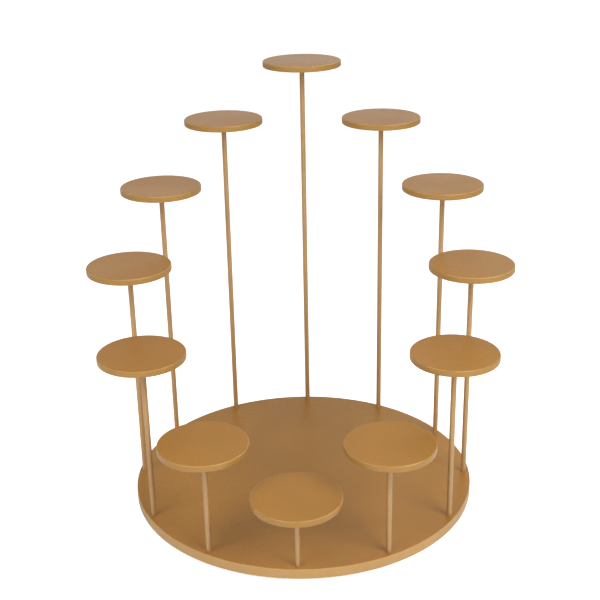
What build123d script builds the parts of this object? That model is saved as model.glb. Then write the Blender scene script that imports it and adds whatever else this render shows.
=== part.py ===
"""Display stand with a ring of stepped plates: a round base, upright rods and a small plate on each rod.

Millimetres, +Z up. The origin is on the floor, under the middle of the base. The front, with the
lowest plate, faces -Y, and the tallest rod stands at the back, at +Y.
"""

import os
from math import cos, radians, sin

from build123d import *

os.makedirs("parts", exist_ok=True)

# Base board
base_diameter = 400.0
base_thickness = 12.0
base_top_round = 1.0
base_bottom_round = 1.0

# Feet under the base
foot_count = 6
foot_diameter = 16.0
foot_height = 3.0
foot_round = 0.8
foot_inset = 30.0  # foot's centre, in from the rim of the base
foot_turn = 15.0  # degrees, so that no foot covers a screw

# Plates
plate_diameter = 96.0
plate_thickness = 7.0
plate_top_round = 1.2
plate_bottom_round = 1.0
plate_skin = 2.0  # board left above the pocket in the underside

# Rods: the free length of each one, between the base and its plate, goes up from the front to the back
rod_count = 12
rod_diameter = 6.0
rod_inset = 7.0  # rod's axis, in from the rim of the base
rod_end_chamfer = 0.4
front_rise = 78.0
second_rise = 125.0
third_rise = 195.0
rise_step = 65.0  # from the third tier on
socket_depth = 3.0
socket_clearance = 0.1

# Threaded joints: a stud at the top of each rod and a screw at its foot
thread_diameter = 4.0
thread_clearance = 0.05
stud_in_rod = 6.0
stud_end_gap = 0.5  # between the stud and the roof of the pocket
stud_chamfer = 0.5
insert_wall = 2.0
flange_width = 1.5
flange_thickness = 0.8
glue_gap = 0.05
screw_in_rod = 7.0
screw_tip_gap = 1.0
screw_hole_clearance = 0.25
screw_head_angle = 90.0
screw_head_width = 4.0  # what the head adds to the shank's diameter
screw_drive = 2.5  # hexagon key, across flats
screw_drive_depth = 1.4

# Heights and places that follow from these
base_bottom = foot_height
base_top = base_bottom + base_thickness
rod_bottom = base_top - socket_depth
ring_radius = base_diameter / 2 - rod_inset
ring_front = -90.0
ring_pitch = 360.0 / rod_count
foot_ring_radius = base_diameter / 2 - foot_inset
insert_length = plate_thickness - plate_skin
insert_diameter = thread_diameter + 2 * insert_wall
flange_diameter = insert_diameter + 2 * flange_width
tapped_diameter = thread_diameter + 2 * thread_clearance
stud_length = stud_in_rod + insert_length - stud_end_gap
board_under_rod = base_thickness - socket_depth
screw_length = board_under_rod + screw_in_rod
screw_head_diameter = thread_diameter + screw_head_width
screw_head_height = screw_head_width / 2  # a 90 degree cone
screw_hole_diameter = thread_diameter + 2 * screw_hole_clearance


def rise_of(steps):
    """Free length of the rod that stands a number of steps away from the front."""
    if steps == 0:
        return front_rise
    if steps == 1:
        return second_rise
    return third_rise + (steps - 2) * rise_step


def stations():
    """Number, place and plate height of each rod, from the front one up both sides to the back one."""
    found = []
    for steps in range(rod_count // 2 + 1):
        at_end = steps == 0 or 2 * steps == rod_count
        sides = [1] if at_end else [-1, 1]
        for side in sides:
            angle = radians(ring_front + side * steps * ring_pitch)
            number = len(found) + 1
            x = ring_radius * cos(angle)
            y = ring_radius * sin(angle)
            found.append((number, x, y, base_top + rise_of(steps)))
    return found


# Base board: rounded rim, a socket for the foot of each rod and a countersunk hole below each socket
with BuildPart() as base_board:
    with BuildSketch(Plane.XY.offset(base_bottom)):
        Circle(base_diameter / 2)
    extrude(amount=base_thickness)
    fillet(base_board.edges().group_by(Axis.Z)[-1], base_top_round)
    fillet(base_board.edges().group_by(Axis.Z)[0], base_bottom_round)
    with Locations(Plane.XY.offset(base_top)):
        with PolarLocations(ring_radius, rod_count, start_angle=ring_front):
            Hole(rod_diameter / 2 + socket_clearance, depth=socket_depth)
    with Locations(-Plane.XY.offset(base_bottom)):
        with PolarLocations(ring_radius, rod_count, start_angle=-ring_front):
            CounterSinkHole(
                screw_hole_diameter / 2,
                screw_head_diameter / 2,
                depth=board_under_rod,
                counter_sink_angle=screw_head_angle,
            )
base_board.part.label = "base_board"
export_step(base_board.part, "parts/base_board.step")

# Feet: one soft disc, then the ring of them
with BuildPart() as foot:
    with BuildSketch():
        Circle(foot_diameter / 2)
    extrude(amount=foot_height)
    fillet(foot.edges().group_by(Axis.Z)[0], foot_round)

with BuildPart() as rubber_feet:
    with PolarLocations(foot_ring_radius, foot_count, start_angle=foot_turn):
        add(foot.part)
rubber_feet.part.label = "rubber_feet"
export_step(rubber_feet.part, "parts/rubber_feet.step")

# Base screws: one countersunk screw, then the ring of them
with BuildPart() as base_screw:
    with BuildSketch(Plane.XZ):
        with BuildLine():
            Polyline(
                (0, 0),
                (screw_head_diameter / 2, 0),
                (thread_diameter / 2, screw_head_height),
                (thread_diameter / 2, screw_length),
                (0, screw_length),
                close=True,
            )
        make_face()
    revolve(axis=Axis.Z)
    chamfer(base_screw.edges().group_by(Axis.Z)[-1], stud_chamfer)
    with BuildSketch():
        RegularPolygon(screw_drive / 2, 6, major_radius=False)
    extrude(amount=screw_drive_depth, mode=Mode.SUBTRACT)

with BuildPart(Plane.XY.offset(base_bottom)) as base_screws:
    with PolarLocations(ring_radius, rod_count, start_angle=ring_front):
        add(base_screw.part)
base_screws.part.label = "base_screws"
export_step(base_screws.part, "parts/base_screws.step")

for number, x, y, underside in stations():
    foot_plane = Plane(origin=(x, y, rod_bottom))
    seat_plane = Plane(origin=(x, y, underside))
    stud_plane = seat_plane.offset(-stud_in_rod)

    # Rod: plain round bar, tapped at both ends
    with BuildPart() as rod:
        with BuildSketch(foot_plane):
            Circle(rod_diameter / 2)
        extrude(amount=underside - rod_bottom)
        chamfer(rod.edges().filter_by(GeomType.CIRCLE), rod_end_chamfer)
        with Locations(seat_plane):
            Hole(tapped_diameter / 2, depth=stud_in_rod)
        with Locations(-foot_plane):
            Hole(tapped_diameter / 2, depth=screw_in_rod + screw_tip_gap)
    rod.part.label = f"rod_{number:02d}"
    export_step(rod.part, f"parts/rod_{number:02d}.step")

    # Plate: rounded disc with a stepped pocket for the insert in its underside
    with BuildPart() as plate:
        with BuildSketch(seat_plane):
            Circle(plate_diameter / 2)
        extrude(amount=plate_thickness)
        fillet(plate.edges().group_by(Axis.Z)[-1], plate_top_round)
        fillet(plate.edges().group_by(Axis.Z)[0], plate_bottom_round)
        with Locations(-seat_plane):
            CounterBoreHole(
                insert_diameter / 2 + glue_gap,
                flange_diameter / 2 + glue_gap,
                flange_thickness,
                depth=insert_length,
            )
    plate.part.label = f"plate_{number:02d}"
    export_step(plate.part, f"parts/plate_{number:02d}.step")

    # Insert: flanged sleeve, flush with the plate's underside
    with BuildPart() as insert:
        with BuildSketch(seat_plane):
            Circle(flange_diameter / 2)
        extrude(amount=flange_thickness)
        with BuildSketch(seat_plane):
            Circle(insert_diameter / 2)
        extrude(amount=insert_length)
        with Locations(-seat_plane):
            Hole(tapped_diameter / 2, depth=insert_length)
    insert.part.label = f"insert_{number:02d}"
    export_step(insert.part, f"parts/insert_{number:02d}.step")

    # Stud: headless screw, half in the rod and half in the insert
    with BuildPart() as stud:
        with BuildSketch(stud_plane):
            Circle(thread_diameter / 2)
        extrude(amount=stud_length)
        chamfer(stud.edges().filter_by(GeomType.CIRCLE), stud_chamfer)
    stud.part.label = f"stud_{number:02d}"
    export_step(stud.part, f"parts/stud_{number:02d}.step")
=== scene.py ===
"""Looks of the ring stand: satin gold lacquer on boards and rods, screwed plate joints, moulded feet.

The boards and the small fittings are meshes made here, in place of their solids. The rods are the solids.
A plain floor, soft light and the camera of the reference view come last.
"""
from math import cos, pi, radians, sin

import bmesh
import bpy
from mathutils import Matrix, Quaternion, Vector


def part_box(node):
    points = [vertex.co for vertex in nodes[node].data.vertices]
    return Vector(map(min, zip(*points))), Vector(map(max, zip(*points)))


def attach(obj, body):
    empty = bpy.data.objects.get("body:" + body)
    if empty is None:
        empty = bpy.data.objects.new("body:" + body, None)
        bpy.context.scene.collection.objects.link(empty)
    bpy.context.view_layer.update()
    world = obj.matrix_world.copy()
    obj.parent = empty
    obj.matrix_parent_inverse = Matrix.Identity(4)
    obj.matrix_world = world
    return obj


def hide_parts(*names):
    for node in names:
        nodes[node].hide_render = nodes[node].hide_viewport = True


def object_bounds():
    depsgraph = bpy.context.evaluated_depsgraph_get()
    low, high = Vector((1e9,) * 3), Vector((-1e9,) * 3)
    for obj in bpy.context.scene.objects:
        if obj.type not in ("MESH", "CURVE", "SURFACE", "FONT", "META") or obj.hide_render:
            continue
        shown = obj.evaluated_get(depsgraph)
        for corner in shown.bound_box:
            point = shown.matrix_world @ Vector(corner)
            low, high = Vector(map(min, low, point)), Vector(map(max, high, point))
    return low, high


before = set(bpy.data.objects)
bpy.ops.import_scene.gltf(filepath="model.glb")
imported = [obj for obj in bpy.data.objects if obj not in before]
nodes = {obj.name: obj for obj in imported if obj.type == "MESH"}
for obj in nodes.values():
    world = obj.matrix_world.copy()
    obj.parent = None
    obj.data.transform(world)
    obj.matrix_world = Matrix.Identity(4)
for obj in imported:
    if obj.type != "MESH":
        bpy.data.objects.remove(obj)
cad_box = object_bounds()
middle = (cad_box[0] + cad_box[1]) / 2

# Camera: aimed at the middle of the stand, from slightly right of its front. Degrees, metres, lens in mm
CAMERA_AZIMUTH = 2.32
CAMERA_ELEVATION = 21.8
CAMERA_ROLL = 1.13
CAMERA_DISTANCE = 1.249
CAMERA_LENS = 65.8
CAMERA_SENSOR = 36.0

# Lights and room, in degrees and metres
LEFT_LIGHT = {"azimuth": -42, "elevation": 38, "power": 15.0}
RIGHT_LIGHT = {"azimuth": 45, "elevation": 36, "power": 24.5}
BACK_LIGHT = {"azimuth": 160, "elevation": 50, "spread": 40, "strength": 0.35}
PANEL_DISTANCE = 1.8
SHADING_WIDTH = 1.05
SHEEN_WIDTH = 2.0
SHEEN_SHARE = 0.5
ROOM_FADE = (0.18, 0.50)  # upward part of a direction, from the room's low tone to its high one
FLOOR_REACH = 14.0

# Finishes, as linear colours
GOLD = (0.446, 0.210, 0.036, 1.0)
GOLD_DEEP = (0.325, 0.140, 0.020, 1.0)
# Paler gold of the rounded edges: partly wear, partly a painted highlight
GOLD_PALE_WEAR_AND_HIGHLIGHT = (0.610, 0.375, 0.140, 1.0)
# The sides' own tones are painted: painted light on the base's rim, painted shade on the plates' sides
RIM_PAINTED_LIGHT_GOLD = (0.520, 0.312, 0.114, 1.0)
PLATE_SIDE_PAINTED_SHADE_GOLD = (0.375, 0.198, 0.041, 1.0)
# The rods' gold is painted paler than the boards': a painted reflection of the white room on them
ROD_PAINTED_REFLECTION_GOLD = (0.486, 0.291, 0.123, 1.0)
ROD_PAINTED_REFLECTION_GOLD_DEEP = (0.393, 0.225, 0.087, 1.0)
BRASS = (0.680, 0.470, 0.190, 1.0)
BRASS_DULL = (0.420, 0.270, 0.110, 1.0)
ZINC = (0.560, 0.570, 0.580, 1.0)
ZINC_DULL = (0.330, 0.340, 0.350, 1.0)
RUBBER = (0.018, 0.018, 0.019, 1.0)
RUBBER_DUSTY = (0.055, 0.053, 0.050, 1.0)
FLOOR = (0.900, 0.895, 0.885, 1.0)
FLOOR_GLOW = (0.740, 0.740, 0.740, 1.0)
ROOM_LOW = (0.690, 0.690, 0.690, 1.0)
ROOM_HIGH = (0.220, 0.220, 0.220, 1.0)
WHITE = (1.0, 1.0, 1.0, 1.0)

# How the finishes vary. A pair is the two ends of a range
FULL = (0.0, 1.0)
REVERSED = (1.0, 0.0)
NOISE_MIDDLE = (0.30, 0.70)
FLAKE_SHADES = (0.88, 1.12)
HALF_COLOR = (0.5, 0.5, 0.5)
BOARD_CLOUDING = 0.30
# How far the edges are paled: partly wear, partly a painted highlight
BOARD_WEAR_AND_HIGHLIGHT = 0.60
BOARD_METAL = (0.02, 0.34)
BOARD_ROUGHNESS = (0.25, 0.31)
FLAKE_ROUGHNESS = 0.06
ROD_CLOUDING = 0.35
ROD_METAL = (0.12, 0.48)
ROD_ROUGHNESS = (0.28, 0.38)
BRASS_ROUGHNESS = (0.24, 0.40)
ZINC_ROUGHNESS = (0.28, 0.44)
RUBBER_ROUGHNESS = (0.62, 0.85)

# Edges of the boards, by how level a face lies: 1 on a flat top, 0 on an upright side
# The paled band on the rounded edges, partly wear and partly a painted highlight
EDGE_BAND_BEGINS = (0.20, 0.60)
EDGE_BAND_ENDS = (0.92, 0.999)
# The upright sides, which get a painted tone for how light falls on them
SIDE_FADES = (0.40, 0.92)

# Patches along those edges: a range of noise, and the shares that noise gives
# Patches of the paled edge band, partly wear and partly a painted highlight
EDGE_BAND_PATCHES = (0.35, 0.65)
EDGE_BAND_SHARES = (0.25, 1.0)
# Patches of the painted side tone
SIDE_TONE_SHARES = (0.8, 1.0)

# Boards, in metres
BASE_SIDES = 288
BASE_ROUND = 0.0010
BASE_RINGS = [0.040, 0.090, 0.140, 0.182]  # radii that divide the flats into smaller faces
HOLE_SIDES = 32
SOCKET_RADIUS = 0.0031
SCREW_HOLE_RADIUS = 0.00225
PLATE_SIDES = 144
PLATE_TOP_ROUND = 0.0012
PLATE_BOTTOM_ROUND = 0.0010
POCKET_RADIUS = 0.00405
POCKET_MOUTH_RADIUS = 0.00555
ROUND_STEPS = 8
FLAT_BORDER = 0.0004
LEVEL_TOLERANCE = 0.0002

# Quarter rounds at the edge of a disc: the turn at which they start, from the level
QUARTER_TURN = pi / 2
LOWER_EDGE = -QUARTER_TURN
UPPER_EDGE = 0.0

# Screwed joints, in metres; the flats of the thread are shares of its pitch
STATION_COUNT = 12
STATIONS = [f"{number:02d}" for number in range(1, STATION_COUNT + 1)]
TURNED_SIDES = 24
THREAD_PITCH = 0.0007
THREAD_DEPTH = 0.00043
THREAD_CREST = 0.125
THREAD_ROOT = 0.25
THREAD_FLANK = (1.0 - THREAD_CREST - THREAD_ROOT) / 2
STUD_ROWS_PER_TURN = 8
SCREW_ROWS_PER_TURN = 4
END_CHAMFER = 0.0005
HEXAGON_TURN = pi / 3
STUD_KEY = 0.0020
STUD_KEY_DEPTH = 0.0018
SCREW_KEY = 0.0025
SCREW_KEY_DEPTH = 0.0014
SCREW_KEY_POINT_RADIUS = SCREW_KEY / 6
SCREW_KEY_POINT_DEPTH = SCREW_KEY / 12
SCREW_HEAD_RADIUS = 0.0040
SCREW_SHANK_RADIUS = 0.0020
KEY_CHAMFER = 0.0001
SMALL_CHAMFER = 0.00015

# Inserts, in metres
INSERT_SIDES = 48
INSERT_BORE_RADIUS = 0.00205
INSERT_FLANGE = 0.0008
INSERT_FLANGE_WIDTH = 0.0015
KNURL_DEPTH = 0.00018

# Feet, in metres
FOOT_SIDES = 48
FOOT_COUNT = 6
FOOT_RING_RADIUS = 0.170
FOOT_TURN = radians(15)
FOOT_RADIUS = 0.008
FOOT_ROUND = 0.0008
FOOT_GROOVES = [(0.0030, 0.0040), (0.0052, 0.0062)]
FOOT_GROOVE_DEPTH = 0.0004
FOOT_GROOVE_SLOPE = 0.00015
FOOT_DIMPLE_RADIUS = 0.0013

# Edges where the surface turns by more than this stay sharp
SHARP_EDGE = radians(32)

# Sockets of the node that mixes two colours
MIX_SHARE = 0
MIX_FIRST = 6
MIX_SECOND = 7
MIX_RESULT = 2


def shader_group(name, inputs, outputs):
    """An empty node group with named sockets, of numbers or of normals, and its input and output nodes."""
    tree = bpy.data.node_groups.new(name, "ShaderNodeTree")
    for label, value in inputs.items():
        socket = tree.interface.new_socket(label, in_out="INPUT", socket_type="NodeSocketFloat")
        socket.default_value = value
    for label in outputs:
        kind = "NodeSocketVector" if label.endswith("Normal") else "NodeSocketFloat"
        tree.interface.new_socket(label, in_out="OUTPUT", socket_type=kind)
    return tree, tree.nodes.new("NodeGroupInput"), tree.nodes.new("NodeGroupOutput")


def feed(tree, socket, value):
    """Links a socket to an input, or sets the input to a value."""
    if isinstance(value, bpy.types.NodeSocket):
        tree.links.new(value, socket)
    else:
        socket.default_value = value


def add_node(tree, kind, inputs=None, **settings):
    """A node with its settings, and its named inputs fed."""
    node = tree.nodes.new(kind)
    for key, value in settings.items():
        setattr(node, key, value)
    for key, value in (inputs or {}).items():
        feed(tree, node.inputs[key], value)
    return node


def combine(tree, operation, *values):
    """The result of a calculation on numbers."""
    return add_node(tree, "ShaderNodeMath", dict(enumerate(values)), operation=operation).outputs["Value"]


def combine_vectors(tree, operation, *values):
    """The result of a calculation on directions or places."""
    node = add_node(tree, "ShaderNodeVectorMath", dict(enumerate(values)), operation=operation)
    return node.outputs["Vector"]


def mix_colors(tree, share, first, second):
    """A colour between two others."""
    node = add_node(tree, "ShaderNodeMix", data_type="RGBA")
    feed(tree, node.inputs[MIX_SHARE], share)
    feed(tree, node.inputs[MIX_FIRST], first)
    feed(tree, node.inputs[MIX_SECOND], second)
    return node.outputs[MIX_RESULT]


def map_range(tree, value, source, target):
    """A value moved from one range to another, smoothly and clamped."""
    ranges = {
        "Value": value,
        "From Min": source[0],
        "From Max": source[1],
        "To Min": target[0],
        "To Max": target[1],
    }
    return add_node(tree, "ShaderNodeMapRange", ranges, interpolation_type="SMOOTHSTEP").outputs["Result"]


def noise(tree, place, scale, detail):
    """Noise over the surface."""
    node = add_node(tree, "ShaderNodeTexNoise", {"Vector": place, "Scale": scale, "Detail": detail})
    return node.outputs["Fac"]


def object_place(tree):
    """Place on the piece, which moves with it."""
    return add_node(tree, "ShaderNodeTexCoord").outputs["Object"]


def upward_part(tree, direction):
    """The upward part of a direction."""
    return add_node(tree, "ShaderNodeSeparateXYZ", {"Vector": direction}).outputs["Z"]


def levelness(tree):
    """How level a face lies: 1 on a flat top, 0 on an upright side."""
    normal = add_node(tree, "ShaderNodeTexCoord").outputs["Normal"]
    return combine(tree, "ABSOLUTE", upward_part(tree, normal))


def spray_cloud_group():
    """Slow changes in the thickness of a sprayed coat."""
    tree, ins, outs = shader_group("spray_cloud", {"Scale": 14.0}, ["Cloud"])
    broad = noise(tree, object_place(tree), ins.outputs["Scale"], detail=3.0)
    feed(tree, outs.inputs["Cloud"], map_range(tree, broad, NOISE_MIDDLE, FULL))
    return tree


def lacquer_skin_group():
    """Fine unevenness of a sprayed skin, and the flakes in it, each with its own shade and tilt."""
    tree, ins, outs = shader_group(
        "lacquer_skin",
        {"Peel Scale": 430.0, "Flake Scale": 4800.0, "Flake Tilt": 0.18},
        ["Height", "Flakes", "Flake Normal"],
    )
    place = object_place(tree)
    cells = add_node(tree, "ShaderNodeTexVoronoi", {"Vector": place, "Scale": ins.outputs["Flake Scale"]})
    color = cells.outputs["Color"]
    shade = add_node(tree, "ShaderNodeSeparateColor", {"Color": color})
    aside = combine_vectors(tree, "SUBTRACT", color, HALF_COLOR)
    tilt = combine_vectors(tree, "MULTIPLY", aside, ins.outputs["Flake Tilt"])
    surface = add_node(tree, "ShaderNodeNewGeometry").outputs["Normal"]
    tilted = combine_vectors(tree, "ADD", surface, tilt)
    feed(tree, outs.inputs["Height"], noise(tree, place, ins.outputs["Peel Scale"], detail=2.0))
    feed(tree, outs.inputs["Flakes"], shade.outputs["Red"])
    feed(tree, outs.inputs["Flake Normal"], combine_vectors(tree, "NORMALIZE", tilted))
    return tree


def edge_wear_and_highlight_group():
    """Where the rounded edges of a disc are paled: partly rubbed by handling, partly a painted highlight
    where light catches them.
    """
    tree, ins, outs = shader_group("edge_wear_and_highlight", {"Break Up": 55.0}, ["Rub"])
    level = levelness(tree)
    rising = map_range(tree, level, EDGE_BAND_BEGINS, FULL)
    falling = map_range(tree, level, EDGE_BAND_ENDS, REVERSED)
    patches = noise(tree, object_place(tree), ins.outputs["Break Up"], detail=4.0)
    patchy = map_range(tree, patches, EDGE_BAND_PATCHES, EDGE_BAND_SHARES)
    band = combine(tree, "MULTIPLY", rising, falling)
    feed(tree, outs.inputs["Rub"], combine(tree, "MULTIPLY", band, patchy))
    return tree


def painted_side_tone_group():
    """The upright sides of a disc, where a tone of their own is painted in uneven patches for how light
    falls on them.
    """
    tree, ins, outs = shader_group("painted_side_tone", {"Unevenness": 24.0}, ["Side"])
    side = map_range(tree, levelness(tree), SIDE_FADES, REVERSED)
    patches = noise(tree, object_place(tree), ins.outputs["Unevenness"], detail=3.0)
    tone_share = map_range(tree, patches, NOISE_MIDDLE, SIDE_TONE_SHARES)
    feed(tree, outs.inputs["Side"], combine(tree, "MULTIPLY", side, tone_share))
    return tree


def drawn_lines_group():
    """Faint lines along a drawn bar, or round a turned one."""
    tree, ins, outs = shader_group("drawn_lines", {"Across": 1500.0, "Along": 22.0}, ["Lines"])
    across = ins.outputs["Across"]
    stretch = add_node(tree, "ShaderNodeCombineXYZ", {"X": across, "Y": across, "Z": ins.outputs["Along"]})
    stretched = combine_vectors(tree, "MULTIPLY", object_place(tree), stretch.outputs["Vector"])
    feed(tree, outs.inputs["Lines"], noise(tree, stretched, scale=1.0, detail=2.0))
    return tree


SPRAY_CLOUD = spray_cloud_group()
LACQUER_SKIN = lacquer_skin_group()
EDGE_WEAR_AND_HIGHLIGHT = edge_wear_and_highlight_group()
PAINTED_SIDE_TONE = painted_side_tone_group()
DRAWN_LINES = drawn_lines_group()


def new_material(name, values):
    """A material with a Principled shader and the values that are the same all over its surface."""
    material = bpy.data.materials.new(name)
    material.use_nodes = True
    tree = material.node_tree
    shader = tree.nodes["Principled BSDF"]
    for key, value in values.items():
        shader.inputs[key].default_value = value
    return material, tree, shader


def effect(tree, group, inputs):
    """Outputs of a shared effect placed in a material with its own values."""
    node = tree.nodes.new("ShaderNodeGroup")
    node.node_tree = group
    for key, value in inputs.items():
        node.inputs[key].default_value = value
    return node.outputs


def relief(tree, shader, height, strength, depth, normal=None):
    """Surface relief from a height, over a normal where one is given."""
    bump = add_node(tree, "ShaderNodeBump", {"Height": height, "Strength": strength, "Distance": depth})
    if normal is not None:
        feed(tree, bump.inputs["Normal"], normal)
    feed(tree, shader.inputs["Normal"], bump.outputs["Normal"])


def clouded(tree, cloud, share, color, deep_color):
    """A colour that goes part of the way to a deeper one where the coat is thick."""
    return mix_colors(tree, combine(tree, "MULTIPLY", cloud, share), color, deep_color)


def flaked(tree, color, flakes):
    """A colour that is a little lighter or darker from flake to flake."""
    shade = map_range(tree, flakes, FULL, FLAKE_SHADES)
    return add_node(tree, "ShaderNodeHueSaturation", {"Color": color, "Value": shade}).outputs["Color"]


def board_lacquer(name, side_painted_color):
    """Satin gold lacquer on a board: flakes, slight orange peel, a painted tone on the sides for how light
    falls on them, and edges paled partly by wear and partly by a painted highlight.
    """
    material, tree, shader = new_material(name, {"IOR": 1.57, "Coat Weight": 0.06, "Coat Roughness": 0.20})
    cloud = effect(tree, SPRAY_CLOUD, {"Scale": 11.0})["Cloud"]
    paint = effect(tree, LACQUER_SKIN, {"Peel Scale": 430.0, "Flake Scale": 4800.0, "Flake Tilt": 0.18})
    # Paled edges: partly wear, partly a painted highlight
    edge_paling = effect(tree, EDGE_WEAR_AND_HIGHLIGHT, {"Break Up": 55.0})["Rub"]
    # A painted tone on the upright sides, for how light falls on them
    side = effect(tree, PAINTED_SIDE_TONE, {"Unevenness": 24.0})["Side"]
    flakes = paint["Flakes"]
    coat = clouded(tree, cloud, BOARD_CLOUDING, GOLD, GOLD_DEEP)
    sided = mix_colors(tree, side, coat, side_painted_color)
    edged = mix_colors(tree, combine(tree, "MULTIPLY", edge_paling, BOARD_WEAR_AND_HIGHLIGHT), sided, GOLD_PALE_WEAR_AND_HIGHLIGHT)
    satin = map_range(tree, cloud, FULL, BOARD_ROUGHNESS)
    feed(tree, shader.inputs["Base Color"], flaked(tree, edged, flakes))
    feed(tree, shader.inputs["Metallic"], map_range(tree, flakes, FULL, BOARD_METAL))
    feed(tree, shader.inputs["Roughness"], combine(tree, "MULTIPLY_ADD", flakes, FLAKE_ROUGHNESS, satin))
    relief(tree, shader, paint["Height"], strength=0.08, depth=0.0006, normal=paint["Flake Normal"])
    return material


def rod_lacquer():
    """The same lacquer on drawn steel rods, a little paler as a painted reflection of the white room, with
    faint lines along them.
    """
    material, tree, shader = new_material(
        "gold_rod_lacquer", {"IOR": 1.52, "Coat Weight": 0.20, "Coat Roughness": 0.16}
    )
    cloud = effect(tree, SPRAY_CLOUD, {"Scale": 26.0})["Cloud"]
    paint = effect(tree, LACQUER_SKIN, {"Flake Scale": 4800.0, "Flake Tilt": 0.14})
    lines = effect(tree, DRAWN_LINES, {"Across": 1500.0, "Along": 22.0})["Lines"]
    flakes = paint["Flakes"]
    # Paler gold on the rods: a painted reflection of the white room
    coat = clouded(tree, cloud, ROD_CLOUDING, ROD_PAINTED_REFLECTION_GOLD, ROD_PAINTED_REFLECTION_GOLD_DEEP)
    feed(tree, shader.inputs["Base Color"], flaked(tree, coat, flakes))
    feed(tree, shader.inputs["Metallic"], map_range(tree, flakes, FULL, ROD_METAL))
    feed(tree, shader.inputs["Roughness"], map_range(tree, lines, NOISE_MIDDLE, ROD_ROUGHNESS))
    relief(tree, shader, lines, strength=0.08, depth=0.0003, normal=paint["Flake Normal"])
    return material


def turned_brass():
    """Brass of the inserts, dull in patches, with turning lines."""
    material, tree, shader = new_material("turned_brass", {"Metallic": 1.0})
    cloud = effect(tree, SPRAY_CLOUD, {"Scale": 300.0})["Cloud"]
    lines = effect(tree, DRAWN_LINES, {"Across": 300.0, "Along": 9000.0})["Lines"]
    feed(tree, shader.inputs["Base Color"], mix_colors(tree, cloud, BRASS, BRASS_DULL))
    feed(tree, shader.inputs["Roughness"], map_range(tree, cloud, FULL, BRASS_ROUGHNESS))
    relief(tree, shader, lines, strength=0.12, depth=0.0002)
    return material


def zinc_plate():
    """Zinc-plated steel of the studs and screws."""
    material, tree, shader = new_material("zinc_plated_steel", {"Metallic": 1.0})
    cloud = effect(tree, SPRAY_CLOUD, {"Scale": 420.0})["Cloud"]
    plating = effect(tree, LACQUER_SKIN, {"Peel Scale": 3000.0, "Flake Scale": 5200.0})
    feed(tree, shader.inputs["Base Color"], mix_colors(tree, cloud, ZINC, ZINC_DULL))
    feed(tree, shader.inputs["Roughness"], map_range(tree, plating["Flakes"], FULL, ZINC_ROUGHNESS))
    relief(tree, shader, plating["Height"], strength=0.10, depth=0.0001)
    return material


def matt_rubber():
    """Black rubber of the feet, dusty in patches."""
    material, tree, shader = new_material("matt_rubber", {"IOR": 1.45})
    cloud = effect(tree, SPRAY_CLOUD, {"Scale": 180.0})["Cloud"]
    height = effect(tree, LACQUER_SKIN, {"Peel Scale": 1500.0})["Height"]
    feed(tree, shader.inputs["Base Color"], mix_colors(tree, cloud, RUBBER, RUBBER_DUSTY))
    feed(tree, shader.inputs["Roughness"], map_range(tree, cloud, FULL, RUBBER_ROUGHNESS))
    relief(tree, shader, height, strength=0.25, depth=0.0002)
    return material


FINISHES = {
    # The second colour is the painted tone of the upright sides: painted light on the rim, painted shade
    # on the plates
    "base_board": board_lacquer("gold_base_lacquer", RIM_PAINTED_LIGHT_GOLD),
    "plate": board_lacquer("gold_plate_lacquer", PLATE_SIDE_PAINTED_SHADE_GOLD),
    "rod": rod_lacquer(),
    "insert": turned_brass(),
    "stud": zinc_plate(),
    "rubber_feet": matt_rubber(),
}
FINISHES["base_screws"] = FINISHES["stud"]


def dress_solids():
    """Gives each solid the finish of its kind."""
    for name, solid in nodes.items():
        kind = name if name in FINISHES else name.rsplit("_", 1)[0]
        solid.data.materials.clear()
        solid.data.materials.append(FINISHES[kind])


def spoke(k, sides):
    """The angle of one of the sides round an axis."""
    return 2 * pi * k / sides


def ring(radii, height):
    """A ring of points round the axis, one for each radius."""
    points = []
    for k, radius in enumerate(radii):
        around = spoke(k, len(radii))
        points.append((radius * cos(around), radius * sin(around), height))
    return points


def round_row(radius, height, sides):
    """A round ring of points."""
    return ring([radius] * sides, height)


def rounded_edge_rows(radius, height, size, first_turn, sides):
    """Rings of points over a quarter round at the edge of a disc; the height is that of its middle."""
    rows = []
    for step in range(ROUND_STEPS + 1):
        turn = first_turn + QUARTER_TURN * step / ROUND_STEPS
        rows.append(round_row(radius - size + size * cos(turn), height + size * sin(turn), sides))
    return rows


def key_row(flats, height):
    """A ring of points on a hexagon, as wide as a key between its flats."""
    radii = []
    for k in range(TURNED_SIDES):
        off_flat = (spoke(k, TURNED_SIDES) + HEXAGON_TURN / 2) % HEXAGON_TURN - HEXAGON_TURN / 2
        radii.append(flats / 2 / cos(off_flat))
    return ring(radii, height)


def key_socket_rows(flats, depth):
    """Rings of points from the floor of a hexagon socket down to its chamfered mouth, at height 0."""
    return [
        key_row(flats, depth),
        key_row(flats, KEY_CHAMFER),
        round_row(flats / 2 + 2 * KEY_CHAMFER + SMALL_CHAMFER, 0.0, TURNED_SIDES),
    ]


def knurled_row(radius, height):
    """A ring of points with straight ridges, one for each two sides."""
    return ring([radius - KNURL_DEPTH * (k % 2) for k in range(INSERT_SIDES)], height)


def thread_rows(low, high, major, rows_per_turn, chamfered_ends):
    """Rings of points along a right-hand thread, with the chosen ends cut back to a chamfer."""
    steps = round((high - low) / THREAD_PITCH * rows_per_turn)
    rows = []
    for step in range(steps + 1):
        height = low + (high - low) * step / steps
        reach = min(END_CHAMFER, *[abs(height - end) for end in chamfered_ends])
        radii = []
        for k in range(TURNED_SIDES):
            phase = (height / THREAD_PITCH - k / TURNED_SIDES) % 1.0
            from_root = THREAD_CREST / 2 + THREAD_FLANK - abs(phase - 0.5)
            ridge = min(1.0, max(0.0, from_root / THREAD_FLANK))
            radii.append(min(major - THREAD_DEPTH * (1.0 - ridge), major - END_CHAMFER + reach))
        rows.append(ring(radii, height))
    return rows


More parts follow.
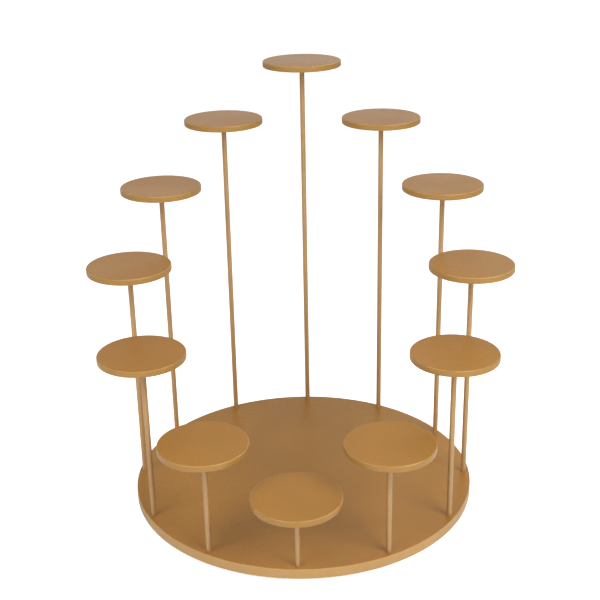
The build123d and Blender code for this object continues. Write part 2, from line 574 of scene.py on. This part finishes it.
def skin(rows, place, first, ends):
    """Points and faces over rows of points. The ends are capped, joined to each other, or left open."""
    sides = len(rows[0])
    points = [Vector(point) + place for row in rows for point in row]
    faces = []
    for below in range(len(rows) if ends == "joined" else len(rows) - 1):
        above = (below + 1) % len(rows)
        for k in range(sides):
            after = (k + 1) % sides
            corners = (below * sides + k, below * sides + after, above * sides + after, above * sides + k)
            faces.append(tuple(first + corner for corner in corners))
    if ends == "capped":
        last = first + (len(rows) - 1) * sides
        faces.append(tuple(reversed(range(first, first + sides))))
        faces.append(tuple(range(last, last + sides)))
    return points, faces


def skinned_mesh(name, forms):
    """A mesh of several skinned forms, each given by its rows, its place and its ends."""
    points = []
    faces = []
    for rows, place, ends in forms:
        new_points, new_faces = skin(rows, place, len(points), ends)
        points += new_points
        faces += new_faces
    mesh = bpy.data.meshes.new(name)
    mesh.from_pydata(points, [], faces)
    return mesh


def fill_level(mesh, height):
    """Fills the flat at a height between the open edges that lie in it."""
    form = bmesh.new()
    form.from_mesh(mesh)
    edges = []
    for edge in form.edges:
        level = all(abs(point.co.z - height) < LEVEL_TOLERANCE for point in edge.verts)
        if edge.is_boundary and level:
            edges.append(edge)
    bmesh.ops.triangle_fill(form, edges=edges, use_beauty=True, normal=(0.0, 0.0, 1.0))
    bmesh.ops.recalc_face_normals(form, faces=form.faces)
    form.to_mesh(mesh)
    form.free()


def link_object(name, data):
    """An object of the scene."""
    thing = bpy.data.objects.new(name, data)
    bpy.context.scene.collection.objects.link(thing)
    return thing


def add_piece(mesh, finish, body, node):
    """A piece that stands for a solid and moves with its body."""
    mesh.materials.append(FINISHES[finish])
    mesh.shade_smooth()
    mesh.set_sharp_from_angle(angle=SHARP_EDGE)
    piece = link_object(mesh.name, mesh)
    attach(piece, body)
    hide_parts(node)


def foot_of(node):
    """The middle of a solid's lower end."""
    low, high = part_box(node)
    return Vector(((low.x + high.x) / 2, (low.y + high.y) / 2, low.z))


def size_of(node):
    """Width and height of a solid's box."""
    low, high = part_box(node)
    return high.x - low.x, high.z - low.z


def rod_places(height):
    """Places at a height on the axes of the rods."""
    feet = [foot_of(f"rod_{number}") for number in STATIONS]
    return [Vector((foot.x, foot.y, height)) for foot in feet]


def lacquered_base():
    """The base: rounded edges, a socket for each rod, and a countersunk screw hole below each socket."""
    low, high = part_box("base_board")
    radius = (high.x - low.x) / 2
    flat = radius - BASE_ROUND - FLAT_BORDER
    rim = [round_row(flat, low.z, BASE_SIDES)]
    rim += rounded_edge_rows(radius, low.z + BASE_ROUND, BASE_ROUND, LOWER_EDGE, BASE_SIDES)
    rim += rounded_edge_rows(radius, high.z - BASE_ROUND, BASE_ROUND, UPPER_EDGE, BASE_SIDES)
    rim.append(round_row(flat, high.z, BASE_SIDES))
    center = Vector((0.0, 0.0, 0.0))
    forms = [(rim, center, "open")]
    for level in (low.z, high.z):
        flat_rows = [round_row(flat_radius, level, BASE_SIDES) for flat_radius in BASE_RINGS]
        forms.append((flat_rows, center, "open"))
    socket_floor = foot_of("rod_01").z
    hole = [
        round_row(SOCKET_RADIUS, high.z, HOLE_SIDES),
        round_row(SOCKET_RADIUS, socket_floor, HOLE_SIDES),
        round_row(SCREW_HOLE_RADIUS, socket_floor, HOLE_SIDES),
        round_row(SCREW_HOLE_RADIUS, low.z + SCREW_HEAD_RADIUS - SCREW_HOLE_RADIUS, HOLE_SIDES),
        round_row(SCREW_HEAD_RADIUS, low.z, HOLE_SIDES),
    ]
    forms += [(hole, place, "open") for place in rod_places(0.0)]
    mesh = skinned_mesh("lacquered_base", forms)
    fill_level(mesh, low.z)
    fill_level(mesh, high.z)
    add_piece(mesh, "base_board", "stand", "base_board")


def lacquered_plates():
    """Plates with rounded edges and a stepped pocket for the insert in the underside."""
    for number in STATIONS:
        node = f"plate_{number}"
        width, height = size_of(node)
        radius = width / 2
        shoulder = height - PLATE_TOP_ROUND
        pocket = size_of(f"insert_{number}")[1]
        rows = [
            round_row(POCKET_RADIUS, pocket, PLATE_SIDES),
            round_row(POCKET_RADIUS, INSERT_FLANGE, PLATE_SIDES),
            round_row(POCKET_MOUTH_RADIUS, INSERT_FLANGE, PLATE_SIDES),
            round_row(POCKET_MOUTH_RADIUS, 0.0, PLATE_SIDES),
            round_row(radius / 2, 0.0, PLATE_SIDES),
            round_row(radius - PLATE_BOTTOM_ROUND - FLAT_BORDER, 0.0, PLATE_SIDES),
        ]
        rows += rounded_edge_rows(radius, PLATE_BOTTOM_ROUND, PLATE_BOTTOM_ROUND, LOWER_EDGE, PLATE_SIDES)
        rows += rounded_edge_rows(radius, shoulder, PLATE_TOP_ROUND, UPPER_EDGE, PLATE_SIDES)
        rows += [
            round_row(radius - PLATE_TOP_ROUND - FLAT_BORDER, height, PLATE_SIDES),
            round_row(radius / 2, height, PLATE_SIDES),
            round_row(POCKET_MOUTH_RADIUS, height, PLATE_SIDES),
        ]
        mesh = skinned_mesh(f"lacquered_{node}", [(rows, foot_of(node), "capped")])
        add_piece(mesh, "plate", f"turn_{number}", node)


def threaded_studs():
    """Headless screws with a hexagon socket in the lower end, in place of the plain studs."""
    for number in STATIONS:
        node = f"stud_{number}"
        width, length = size_of(node)
        rows = key_socket_rows(STUD_KEY, STUD_KEY_DEPTH)
        rows += thread_rows(0.0, length, width / 2, STUD_ROWS_PER_TURN, (0.0, length))
        mesh = skinned_mesh(f"threaded_{node}", [(rows, foot_of(node), "capped")])
        add_piece(mesh, "stud", f"lift_{number}", node)


def base_screws():
    """Countersunk screws with a hexagon socket, from below into the foot of each rod."""
    length = size_of("base_screws")[1]
    head = SCREW_HEAD_RADIUS
    shank = SCREW_SHANK_RADIUS
    thread_start = head - shank + THREAD_PITCH
    rows = [round_row(SCREW_KEY_POINT_RADIUS, SCREW_KEY_DEPTH + SCREW_KEY_POINT_DEPTH, TURNED_SIDES)]
    rows += key_socket_rows(SCREW_KEY, SCREW_KEY_DEPTH)
    rows += [
        round_row(head - 2 * SMALL_CHAMFER, 0.0, TURNED_SIDES),
        round_row(head - SMALL_CHAMFER, SMALL_CHAMFER, TURNED_SIDES),
        round_row(shank, head - shank, TURNED_SIDES),
        round_row(shank, thread_start - THREAD_PITCH / 2, TURNED_SIDES),
    ]
    rows += thread_rows(thread_start, length, shank, SCREW_ROWS_PER_TURN, (length,))
    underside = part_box("base_screws")[0].z
    forms = [(rows, place, "capped") for place in rod_places(underside)]
    add_piece(skinned_mesh("countersunk_screws", forms), "base_screws", "stand", "base_screws")


def knurled_inserts():
    """Flanged brass inserts with a knurled barrel, set in the undersides of the plates."""
    for number in STATIONS:
        node = f"insert_{number}"
        width, height = size_of(node)
        flange = width / 2
        barrel = flange - INSERT_FLANGE_WIDTH
        bore = INSERT_BORE_RADIUS
        edge = SMALL_CHAMFER
        rows = [
            round_row(bore + edge, 0.0, INSERT_SIDES),
            round_row(flange - edge, 0.0, INSERT_SIDES),
            round_row(flange, edge, INSERT_SIDES),
            round_row(flange, INSERT_FLANGE, INSERT_SIDES),
            round_row(barrel - KNURL_DEPTH, INSERT_FLANGE, INSERT_SIDES),
            knurled_row(barrel, INSERT_FLANGE + 2 * edge),
            knurled_row(barrel, height - 3 * edge),
            round_row(barrel - 2 * edge, height, INSERT_SIDES),
            round_row(bore + edge, height, INSERT_SIDES),
            round_row(bore, height - edge, INSERT_SIDES),
            round_row(bore, edge, INSERT_SIDES),
        ]
        mesh = skinned_mesh(f"knurled_{node}", [(rows, foot_of(node), "joined")])
        add_piece(mesh, "insert", f"turn_{number}", node)


def moulded_feet():
    """Rubber feet with a rounded rim, two grooves and a moulding dimple underneath."""
    height = size_of("rubber_feet")[1]
    rows = [
        round_row(FOOT_DIMPLE_RADIUS - FOOT_GROOVE_SLOPE, FOOT_GROOVE_DEPTH, FOOT_SIDES),
        round_row(FOOT_DIMPLE_RADIUS, 0.0, FOOT_SIDES),
    ]
    for inner, outer in FOOT_GROOVES:
        rows += [
            round_row(inner, 0.0, FOOT_SIDES),
            round_row(inner + FOOT_GROOVE_SLOPE, FOOT_GROOVE_DEPTH, FOOT_SIDES),
            round_row(outer - FOOT_GROOVE_SLOPE, FOOT_GROOVE_DEPTH, FOOT_SIDES),
            round_row(outer, 0.0, FOOT_SIDES),
        ]
    rows += rounded_edge_rows(FOOT_RADIUS, FOOT_ROUND, FOOT_ROUND, LOWER_EDGE, FOOT_SIDES)
    rows += [
        round_row(FOOT_RADIUS, height - SMALL_CHAMFER, FOOT_SIDES),
        round_row(FOOT_RADIUS - SMALL_CHAMFER, height, FOOT_SIDES),
    ]
    forms = []
    for k in range(FOOT_COUNT):
        around = FOOT_TURN + spoke(k, FOOT_COUNT)
        place = Vector((FOOT_RING_RADIUS * cos(around), FOOT_RING_RADIUS * sin(around), 0.0))
        forms.append((rows, place, "capped"))
    add_piece(skinned_mesh("moulded_feet", forms), "rubber_feet", "stand", "rubber_feet")


def studio_floor():
    """A wide pale floor under the feet, which the camera sees a little brighter than it is lit."""
    material, tree, shader = new_material(
        "pale_floor",
        {"Base Color": FLOOR, "Roughness": 0.85, "Specular IOR Level": 0.15, "Emission Color": FLOOR_GLOW},
    )
    seen = add_node(tree, "ShaderNodeLightPath").outputs["Is Camera Ray"]
    feed(tree, shader.inputs["Emission Strength"], seen)
    signs = [(-1, -1), (1, -1), (1, 1), (-1, 1)]
    mesh = bpy.data.meshes.new("studio_floor")
    mesh.from_pydata([(x * FLOOR_REACH, y * FLOOR_REACH, 0.0) for x, y in signs], [], [(0, 1, 2, 3)])
    mesh.materials.append(material)
    link_object("studio_floor", mesh)


def toward(azimuth, elevation):
    """Direction from the stand to a place in the room; at azimuth 0 it is the front, at 90 the right."""
    around = radians(azimuth)
    up = radians(elevation)
    return Vector((cos(up) * sin(around), -cos(up) * cos(around), sin(up)))


def aimed(direction):
    """The turn of a lamp or a camera that looks along a direction."""
    return direction.to_track_quat("-Z", "Y")


def soft_sun(name, azimuth, elevation, spread, strength):
    """A wide, far light from one direction."""
    data = bpy.data.lights.new(name, "SUN")
    data.energy = strength
    data.angle = radians(spread)
    light = link_object(name, data)
    light.rotation_euler = aimed(-toward(azimuth, elevation)).to_euler()


def soft_panel(name, direction, width, power, sheen):
    """A round panel aimed at the middle of the stand, for the sheen of the finishes or their shading."""
    data = bpy.data.lights.new(name, "AREA")
    data.shape = "DISK"
    data.size = width
    data.energy = power
    light = link_object(name, data)
    light.location = middle + PANEL_DISTANCE * direction
    light.rotation_euler = aimed(-direction).to_euler()
    light.visible_diffuse = not sheen
    light.visible_glossy = sheen


def front_light(side, azimuth, elevation, power):
    """A light in front of the stand: a narrow panel for the shading and a broad one for the sheen."""
    direction = toward(azimuth, elevation)
    soft_panel(f"{side}_shading_light", direction, SHADING_WIDTH, power, sheen=False)
    soft_panel(f"{side}_sheen_light", direction, SHEEN_WIDTH, SHEEN_SHARE * power, sheen=True)


def studio_light():
    """Two soft lights in front of the stand and a weak one behind it."""
    front_light("left", **LEFT_LIGHT)
    front_light("right", **RIGHT_LIGHT)
    soft_sun("back_fill_light", **BACK_LIGHT)


def studio_room():
    """A grey room, darker above, that is white where the camera sees it."""
    world = bpy.data.worlds.new("studio")
    world.use_nodes = True
    bpy.context.scene.world = world
    tree = world.node_tree
    height = upward_part(tree, add_node(tree, "ShaderNodeTexCoord").outputs["Generated"])
    lit = mix_colors(tree, map_range(tree, height, ROOM_FADE, FULL), ROOM_LOW, ROOM_HIGH)
    seen = add_node(tree, "ShaderNodeLightPath").outputs["Is Camera Ray"]
    feed(tree, tree.nodes["Background"].inputs["Color"], mix_colors(tree, seen, lit, WHITE))


def studio_camera():
    """The camera at the reference view."""
    offset = CAMERA_DISTANCE * toward(CAMERA_AZIMUTH, CAMERA_ELEVATION)
    data = bpy.data.cameras.new("reference_camera")
    data.lens = CAMERA_LENS
    data.sensor_width = CAMERA_SENSOR
    camera = link_object("reference_camera", data)
    camera.location = middle + offset
    camera.rotation_mode = "QUATERNION"
    camera.rotation_quaternion = aimed(-offset) @ Quaternion((0, 0, 1), -radians(CAMERA_ROLL))
    bpy.context.scene.camera = camera


dress_solids()
lacquered_base()
lacquered_plates()
threaded_studs()
base_screws()
knurled_inserts()
moulded_feet()
studio_floor()
studio_light()
studio_room()
studio_camera()
bpy.context.scene.view_settings.view_transform = "Standard"
